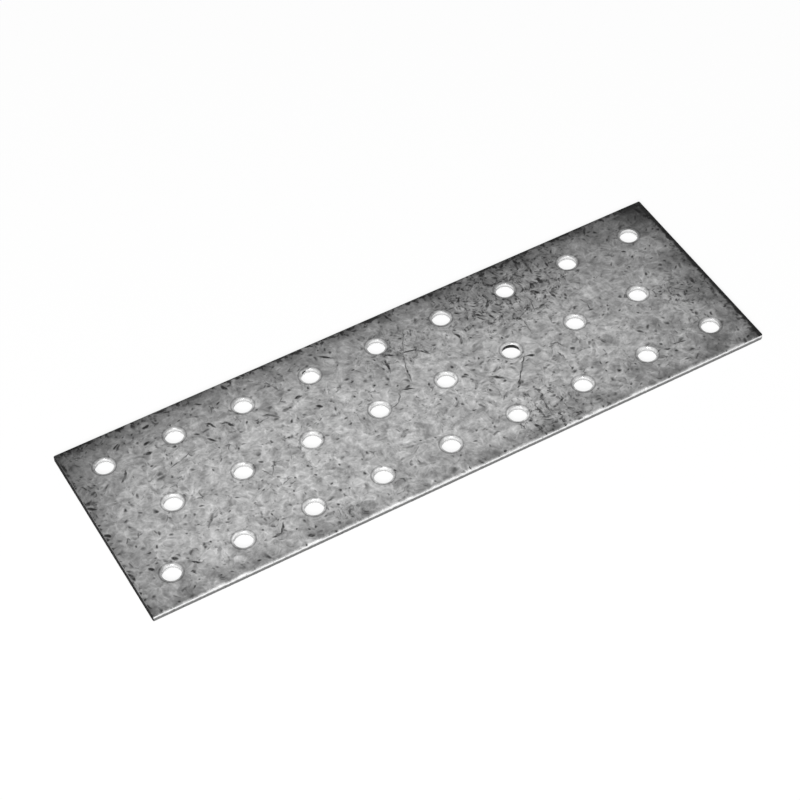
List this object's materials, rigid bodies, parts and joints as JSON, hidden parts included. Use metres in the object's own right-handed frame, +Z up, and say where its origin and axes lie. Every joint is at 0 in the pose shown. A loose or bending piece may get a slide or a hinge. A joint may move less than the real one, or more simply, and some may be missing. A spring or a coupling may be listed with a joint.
{
  "type": "mending plate",
  "caption": "Flat rectangular strip of galvanised steel with staggered rows of round punched holes, nailed or screwed across a butt joint to tie two timbers together.",
  "frame": {"origin": "centre of the plate's lower face, which lies on the surface", "axes": "+X along the length, +Y across the width, +Z up, out of the face that the punch entered"},
  "size_m": [0.18, 0.06, 0.002],
  "materials": {
    "galvanised_steel": "hot-dip galvanised, dull with a zinc spangle; sheared edges and punched holes bright"
  },
  "bodies": {
    "root": {"plate": "galvanised_steel"}
  },
  "joints": []
}
